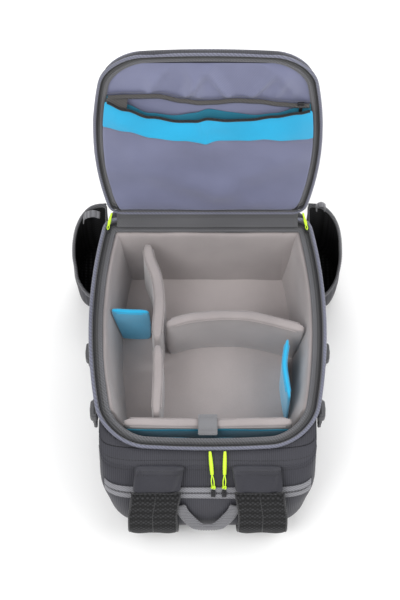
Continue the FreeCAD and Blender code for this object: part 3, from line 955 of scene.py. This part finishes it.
def ribbon(name, path, width_axis, width, thick, look, body, **options):
    """A flat webbing strap along a path."""
    axis = Vector(width_axis).normalized()
    rows = []
    for p, t in zip(path, tangents(path)):
        out = axis.cross(t).normalized()
        rows.append([p + axis * w * width / 2 + out * h * thick / 2 for w, h in RIBBON_SECTION])
    return surface(name, rows, look, body, close_cols=True, caps=True, **options)


def buckles():
    first = True
    for side, word in SIDES:
        for y, level in ((-98, "upper"), (-5, "lower")):
            x = max(side_x(y - 14, 7), side_x(y + 14, 7)) + 0.6
            grey = "buckle_grey" if level == "upper" else "buckle_plastic"
            tag = level + "_" + word

            def out(dx, dy, z, x=x, y=y, side=side):
                return Vector((side * (x + dx), y + dy, z))
            top = smooth_path([out(0, 0, 180), out(1.5, 0, 174), out(6, 0, 171), out(8.5, 0, 167)], 2)
            ribbon("compression_top_" + tag, top, (0, 1, 0), 22, 1.8, "dark_webbing", "bag",
                   replaces=("compression_webbing",) if first else ())
            low = smooth_path([out(2, 0, 92), out(0.8, 0, 80), out(0.4, 0, 60), out(0.8, 0, 40),
                               out(2.5, 0, 26)], 4)
            ribbon("compression_low_" + tag, low, (0, 1, 0), 22, 1.8, "dark_webbing", "bag")

            def box_at(p, side=side):
                return Vector((side * p.x, p.y, p.z))

            def block(name, low, high, radius, body, cuts, tag=tag, x=x, y=y, grey=grey, box_at=box_at,
                      **options):
                low = (x + low[0], y + low[1], low[2])
                high = (x + high[0], y + high[1], high[2])
                soft_box(name + "_" + tag, low, high, radius, grey, body, cuts=cuts, place=box_at,
                         **options)
            body = "buckle_male_" + tag
            block("buckle_shell", (0.5, -13.5, 147), (11.5, 13.5, 168), 3.2, "bag", 8, crown=(1.2, 0, 0),
                  replaces=("buckle_females",) if first else ())
            block("buckle_bar", (1, -13.5, 168.8), (8, 13.5, 172), 1.5, "bag", 6)
            block("buckle_rib", (9, -4, 150), (12.6, 4, 165), 1.6, "bag", 6)
            block("buckle_prong", (2.8, -10.8, 128), (9, 10.8, 145.6), 2.4, body, 8, crown=(0.6, 0, 0),
                  replaces=(body,))
            for k, z in enumerate((113.5, 120.5)):
                block("buckle_ladder_%d" % k, (3, -10.8, z), (8.4, 10.8, z + 3.6), 1.5, body, 5)
            for k, dy in enumerate((-9.6, 9.6)):
                block("buckle_rail_%d" % k, (3.4, dy - 1.3, 113), (8, dy + 1.3, 129), 1.2, body, 5)
            first = False


def pocket_loops():
    tab = smooth_path([(-169, 225, 172), (-180, 226, 176), (-193, 226, 168), (-196, 226, 152)], 4)
    ribbon("pocket_tab_webbing", tab, (0, 1, 0), 12, 2.0, "webbing", "bag",
           replaces=("pocket_webbing_loops",))
    loop = smooth_path([(172, 233, 176), (171, 233, 186), (178, 233, 194), (185, 233, 186),
                        (184, 233, 176)], 2.5)
    ribbon("pocket_loop_webbing", loop, (0, 1, 0), 8, 1.6, "webbing", "bag")


# ---------------------------------------------------------------- base end and front pocket

def round_corners(piece, straight, radius):
    """Rounds a flat piece's corners, seen from above, beyond the half-lengths that stay straight."""
    for v in piece.data.vertices:
        place = [v.co[k] / MM for k in range(2)]
        past = [abs(c) - flat for c, flat in zip(place, straight)]
        over = math.hypot(max(past[0], 0), max(past[1], 0))
        for k in range(2):
            if over > radius and past[k] > 0:
                v.co[k] = math.copysign(straight[k] + past[k] * radius / over, place[k]) * MM


def base_and_front():
    cushion = soft_box("base_cushion_skin", (-156, 203, 18), (156, 245, 170), 22, "side_nylon", "bag",
                       crown=(2, 3, 1), cuts=18, ripple=3.0, replaces=("base_cushion",))
    pocket = soft_box("front_pocket_skin", (-120, -125, 0), (120, 125, 17.5), 8, "outer_nylon", "bag",
                      cuts=14, replaces=("front_pocket",))
    round_corners(pocket, (80, 85), 40)
    seam = [(x, 247.2, z) for x, z in ((-140, 60), (-60, 60), (0, 60), (60, 60), (140, 60))]
    tubes("base_seam", [smooth_path(seam, 5)], 1.2, "piping", "bag")


# ---------------------------------------------------------------- lid

def lid_shell():
    base = outline(0, **LID_SHAPE)
    around("lid_gusset", base, [(13.4, 186.4), (12.6, 188), (13.2, 191.5), (15.5, 196), (18.6, 199.6),
                                (22, 201.2)], "outer_nylon", "lid", closed_section=False, ripple=0.8,
           place=opened, thick=1.0, replaces=("lid_edge_band", "lid_board"))
    core = outline(14.2, **LID_SHAPE)
    levels = ((0.4, 190.2), (0, 190.8), (1.6, 194), (6.6, 199.8), (8, 200.8))
    rows = [[opened((p.x, p.y, z)) + (opened((0, 20, z)) - opened((p.x, p.y, z))).normalized() * shrink
             for p in core] for shrink, z in levels]
    surface("lid_core", rows, "outer_nylon", "lid", close_cols=True, caps=True)
    for depth, z, radius, tag in ((19.6, 199.6, 1.9, "back"), (14.4, 186.8, 2.3, "front")):
        tubes("lid_piping_" + tag, [ring_path(depth, z, opened, **LID_SHAPE)], radius, "piping", "lid",
              closed=True, sides=12)
    around("lid_zip_tape_cloth", base, oval(4.2, 0.8, 19.4, 187.4), "zip_tape", "lid", place=opened,
           replaces=("lid_zip_tape",))
    path = ring_path(18.2, 186.4, opened, step=2.3, **LID_SHAPE)
    zip_teeth("lid_zip_teeth", path, LID_NORMAL, (3.0, 1.5, 1.6), "lid", True)
    around("lid_inner_binding", base, oval(3.0, 1.3, 25.0, 187.0), "rim_tape", "lid", place=opened)
    path = ring_path(25.0, 185.6, opened, **LID_SHAPE)
    stitches("lid_stitches", path, LID_NORMAL, "lid", closed=True, lift=0.2)


def lid_half(y, inset=26.0):
    """Half-width of the lining at y on the shut lid, with its corners rounded."""
    y0 = NEAR_Y + inset
    y1 = HINGE_Y - LID_START - 3
    half = side_x(max(min(y, y1), y0), inset)
    near = y - y0
    if near < 36:
        half -= 36 - math.sqrt(max(36 ** 2 - (36 - max(near, 0)) ** 2, 0))
    far = y1 - y
    if far < 14:
        half -= 14 - math.sqrt(max(14 ** 2 - (14 - max(far, 0)) ** 2, 0))
    return half


def folds(x, t, seed, size):
    """Soft diagonal folds of a slack lining, in millimetres."""
    p = Vector((x * 0.016, t * 0.010, seed))
    bend = 22 * noise.noise(p)
    a = math.sin((x * 0.55 + t * 0.9 + bend) * 0.052 + seed)
    b = math.sin((x * 0.9 - t * 0.75 + bend * 1.4) * 0.043 + seed * 2)
    crease = 1 - abs(noise.noise(Vector((x * 0.02 + t * 0.012, t * 0.008 - x * 0.006, seed + 9)))) * 3.4
    return size * (0.45 * a + 0.35 * b + 0.55 * max(crease, -0.4))


def lid_sheet(name, t0, t1, height, look, node, seed, size, top_shape=None, low_shape=None):
    """Cloth inside the lid from t0 to t1 beyond the hinge, at a height off the shut board."""
    rows = []
    count = max(8, round((t1 - t0) / 4))
    for i in range(count + 1):
        row = []
        for k in range(81):
            u = k / 40 - 1
            share = i / count
            top = t1 + (top_shape(u) if top_shape else 0)
            low = t0 + (low_shape(u) if low_shape else 0)
            t = low + (top - low) * share
            y = HINGE_Y - t
            x = u * lid_half(y)
            edge = min(1.0, (1 - abs(u)) * 9) * min(1.0, i * 0.34 + 0.1)
            edge *= min(1.0, (count - i) * 0.12 + 0.05)
            z = height(t, u) - max(folds(x, t, seed, size), -0.6) * edge
            row.append(opened((x, y, z)))
        rows.append(row)
    return surface(name, rows, look, "lid", subdiv=1, thick=0.7, replaces=(node,))


MOUTH_EDGE = [(-1, 279), (-0.79, 265), (-0.55, 247), (-0.29, 237), (-0.12, 239), (0, 246), (0.2, 242),
              (0.42, 241), (0.63, 247), (0.87, 257), (1, 262)]
BLUE_FOOT = [(-1, 224), (-0.77, 214), (-0.54, 202), (-0.24, 196), (-0.02, 187), (0.12, 193), (0.36, 196),
             (0.54, 200), (0.72, 195), (1, 194)]
TAPE_EDGE = [(-1, 285), (-0.8, 287), (-0.5, 288), (-0.23, 278), (-0.09, 274), (0.05, 275), (0.27, 279),
             (0.48, 277), (0.7, 271), (0.87, 268), (1, 268)]


def eased(table, u):
    """A smooth value between the points of a table."""
    u = max(table[0][0], min(table[-1][0], u))
    for (u0, v0), (u1, v1) in zip(table, table[1:]):
        if u <= u1:
            share = (u - u0) / (u1 - u0)
            return v0 + (v1 - v0) * share * share * (3 - 2 * share)
    return table[-1][1]


def across_lid(table, z, reach=0.975, lift=None):
    """Points of one seam across the lid, following its table of distances from the hinge."""
    points = []
    for k in range(121):
        u = (k / 60 - 1) * reach
        t = eased(table, u)
        points.append(opened((u * lid_half(HINGE_Y - t), HINGE_Y - t, z - (lift(u) if lift else 0))))
    return resample(points, 4)


def radiating(x, t):
    """Gathers fanning away from the zip into the lining above it."""
    rise = max(0.0, (t - 276) / 74)
    fan = 0.0
    for x0, lean, size in ((-92, 0.3, 2.0), (-38, 0.5, 3.2), (-12, -0.25, 3.0), (34, -0.55, 3.4),
                           (58, 0.75, 3.0), (98, 0.35, 2.2), (128, -0.2, 1.6)):
        off = (x - x0 - lean * (t - 276)) / (5.5 + 9 * rise)
        fan += size * math.exp(-off * off)
    return fan * min(1.0, rise * 6) * max(0.0, 1 - rise ** 4) if t > 276 else 0.0


def drape(x, t):
    """The long slanting folds of the pocket front, and short puckers along its side seams."""
    slope = 0.0
    for x0, t0, lean, wide, size in ((-30, 95, 0.42, 13, 8.0), (40, 60, 0.30, 10, 5.0),
                                     (-96, 150, -0.5, 12, 4.2), (88, 128, -0.62, 14, 4.8),
                                     (30, 172, 0.12, 8, 3.4), (-60, 40, 0.2, 10, 3.6)):
        off = ((t - t0) + lean * (x - x0)) / wide
        along = (x - x0) / 74
        slope += size * math.exp(-off * off - along * along)
    pucker = 1.8 * math.sin(t * 0.42 + x * 0.05) * max(0.0, abs(x) / 148 - 0.72) * 3.2
    return slope + pucker


def lining_height(t, u):
    return 188.9 - radiating(u * 150, t) * 1.9


def pocket_height(t, u):
    """The pocket front stands off the board, and lies flat again under the blue panel."""
    if t >= 206:
        return 183.2
    return 186.6 - 3.4 * min(t / 190, 1) - drape(u * 150, t) * min(1, (204 - t) / 22 + 0.1)


def blue_height(t, u):
    """The blue panel bulges between its seams, with one pinched crease near its middle."""
    crease = math.exp(-((u * 150 + 3 + (t - 190) * 0.12) / 5) ** 2)
    return 179.4 - mouth_sway(u) * math.cos(t * 0.05) - 2.6 * crease + 2.0 * u ** 6


def mouth_sway(u):
    return 2.2 * math.sin(u * 7 + 1)


def lid_sheets():
    lining = lid_sheet("lid_lining_satin", 19, 350, lining_height, "satin_lining", "lid_lining", 1.3, 1.2)
    lower = lid_sheet("lid_pocket_satin", 23, 7, pocket_height, "satin_lining", "lid_pocket_lower", 4.7,
                      1.8, lambda u: eased(BLUE_FOOT, u))
    upper = lid_sheet("lid_pocket_blue", 0, 0, blue_height, "blue_nylon", "lid_pocket_upper", 7.1, 1.6,
                      lambda u: eased(MOUTH_EDGE, u), lambda u: eased(BLUE_FOOT, u))


def pocket_mouth():
    """The blue panel's bound edge and lower seam, and the pocket's inner cloth behind it, coloured dark teal
    as painted shade.
    """
    hem = across_lid(MOUTH_EDGE, 178.6, lift=lambda u: mouth_sway(u) * 0.9 - 2.0 * u ** 6)
    tubes("lid_pocket_mouth_hem", [hem], 2.1, "binding", "lid", slot="zip_tape")
    foot = across_lid(BLUE_FOOT, 179.2)
    stitches("lid_pocket_stitches", foot, LID_NORMAL, "lid", lift=1.6, slot="blue_nylon")
    # Inner cloth behind the mouth: its dark teal colour is painted shade of the pocket's shadowed inside.
    inner = []
    for i in range(9):
        row = []
        for k in range(61):
            u = (k / 30 - 1) * 0.985
            t = eased(MOUTH_EDGE, u) - 8 + (14 + 5 * math.cos(u * 5)) * i / 8
            row.append(opened((u * lid_half(HINGE_Y - t), HINGE_Y - t, 182.4 + 4.0 * i / 8)))
        inner.append(row)
    surface("lid_pocket_inside_painted_shade", inner, "teal_lining", "lid", thick=0.8, slot="blue_nylon")


def pocket_tape():
    tape = across_lid(TAPE_EDGE, 183.0)
    ribbon("lid_pocket_tape", tape, (0, 0.17, 0.985), 8, 1.6, "binding_grey", "lid",
           replaces=("lid_pocket_zip_tape",))
    stitches("lid_tape_stitches", [p + UP * 6.5 for p in tape], LID_NORMAL, "lid", lift=-3.2)
    path = resample([p + LID_NORMAL * 1.4 - UP * 3.6 for p in tape], 2.4)
    zip_teeth("lid_pocket_teeth", path, LID_NORMAL, (2.6, 1.4, 1.4), "lid")


def pocket_gusset():
    """The plain patch that closes the left end of the pocket mouth."""
    patch = []
    for i in range(13):
        share = i / 12
        row = []
        for k in range(13):
            u = -0.985 + 0.205 * k / 12
            t = eased(MOUTH_EDGE, u) + (eased(TAPE_EDGE, u) - 1 - eased(MOUTH_EDGE, u)) * share
            row.append(opened((u * lid_half(HINGE_Y - t), HINGE_Y - t, 179.6 + 3.4 * share)))
        patch.append(row)
    surface("lid_pocket_gusset", patch, "binding_grey", "lid", thick=0.9)


def pocket_zip():
    x = 132
    y = HINGE_Y - 272

    def at(p):
        return opened((x + p.y, y + p.x, 184.2 - p.z))
    slider_piece("pocket_slider", at)
    low = (-2.6, 6.4, 0.6)
    high = (2.6, 29, 2.8)

    def pull_at(p):
        return opened((x + p.x, y + p.y, 185.6 - p.z))
    soft_box("pocket_pull_tab", low, high, 1.0, "zip_metal", "pocket_pull", cuts=6, place=pull_at,
             replaces=("pocket_pull",))


def hinge_cloth():
    """The soft strip between the rim and the lid, shaped to the lid's open turn."""
    rows = []
    for i in range(15):
        t = -16 + 36 * i / 14
        row = []
        for k in range(61):
            x = -141 + 282 * k / 60
            bulge = 1.4 * noise.noise(Vector((x * 0.02, t * 0.05, 3)))
            if t < 0:
                row.append(Vector((x, HINGE_Y + t, 187.6 + 2.4 * (1 + t / 16) + bulge)))
            else:
                row.append(opened((x, HINGE_Y - t, 188.9 + bulge * 0.5)))
        rows.append(row)
    strip = surface("hinge_strip_cloth", rows, "rim_tape", None, thick=1.6, replaces=("hinge_strip",))
    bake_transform(strip)
    seam = [opened((x, HINGE_Y - 19, 187.2)) for x in range(-136, 137, 8)]
    tubes("hinge_seam", [resample(seam, 5)], 1.3, "rim_tape", "lid")


def back_pads():
    """Cushions in air mesh on the lid's outer side, which rests on the wearer's back."""
    for side, word in SIDES:
        x0, x1 = sorted((side * 24, side * 126))
        pad = soft_box("back_cushion_" + word, (x0, NEAR_Y + 42, 200.4), (x1, HINGE_Y - 124, 218), 8,
                       "air_mesh", "lid", crown=(1.5, 2, 2.5), cuts=18, ripple=1.5, place=opened,
                       replaces=("back_cushions",) if side < 0 else ())
        for k, y in enumerate((-60, -5, 40)):
            seam = [opened((x, y + 6 * side, 219.2)) for x in range(int(x0) + 8, int(x1) - 7, 6)]
            tubes("back_channel_%d_%s" % (k, word), [resample(seam, 5)], 1.4,
                  "binding", "lid")
        edge = [(x0, NEAR_Y + 42), (x1, NEAR_Y + 42), (x1, HINGE_Y - 124), (x0, HINGE_Y - 124)]
        loop = resample([opened((x, y, 202.2)) for x, y in edge + edge[:1]], 6, True)
        tubes("back_piping_" + word, [loop], 1.6, "piping", "lid", closed=True)
    pad = soft_box("lumbar_pad_foam", (-108, HINGE_Y - 108, 200.4), (108, HINGE_Y - 54, 218), 8, "air_mesh",
                   "lid", crown=(1.5, 1.5, 2.5), cuts=16, ripple=1.5, place=opened,
                   replaces=("lumbar_pad",))


# ---------------------------------------------------------------- stage

def stage():
    bpy.ops.mesh.primitive_plane_add(size=14, location=(0, 0, -0.0005))
    floor = bpy.context.object
    floor.name = "floor"
    material, nodes, links = new_material("floor_pale")
    shader = nodes["Principled BSDF"]
    grain = fuzz(nodes, links, nodes.new("ShaderNodeTexCoord").outputs["Object"], 4)
    ramp = nodes.new("ShaderNodeValToRGB")
    ramp.color_ramp.elements[0].color = (0.93, 0.93, 0.93, 1)
    ramp.color_ramp.elements[1].color = (0.96, 0.96, 0.96, 1)
    links.new(grain, ramp.inputs["Fac"])
    links.new(ramp.outputs["Color"], shader.inputs["Base Color"])
    shader.inputs["Roughness"].default_value = 0.9
    floor.data.materials.append(material)
    world = bpy.data.worlds.new("studio")
    world.use_nodes = True
    world.node_tree.nodes["Background"].inputs["Color"].default_value = (1, 1, 1, 1)
    world.node_tree.nodes["Background"].inputs["Strength"].default_value = 0.75
    scene.world = world
    scene.view_settings.view_transform = "Standard"
    for name, place, size, power in (("key", (-1.3, -1.2, 2.6), 1.6, 42),
                                     ("fill", (1.7, -0.4, 2.2), 1.8, 26),
                                     ("back", (0.2, 1.9, 2.1), 1.4, 24)):
        light = bpy.data.lights.new(name, "AREA")
        light.energy = power
        light.size = size
        lamp = bpy.data.objects.new(name, light)
        lamp.location = place
        lamp.rotation_euler = (Vector((0, 0, 0.15)) - Vector(place)).to_track_quat("-Z", "Y").to_euler()
        scene.collection.objects.link(lamp)


def camera():
    data = bpy.data.cameras.new("camera")
    data.sensor_width = 36
    data.lens = 97.9
    data.clip_end = 30
    view = bpy.data.objects.new("camera", data)
    view.location = (-0.0115, -0.977, 2.445)
    view.rotation_euler = (math.radians(24.9), 0, 0)
    scene.collection.objects.link(view)
    scene.camera = view


camera()
stage()
bag_shell()
rim()
wall_pads()
dividers()
sleeve()
top_end()
for strap_side, strap_word in SIDES:
    strap(strap_side, strap_word)
handle()
main_zips()
top_zips()
side_pockets()
buckles()
pocket_loops()
base_and_front()
lid_shell()
lid_sheets()
pocket_mouth()
pocket_tape()
pocket_gusset()
pocket_zip()
hinge_cloth()
back_pads()

bpy.context.view_layer.update()
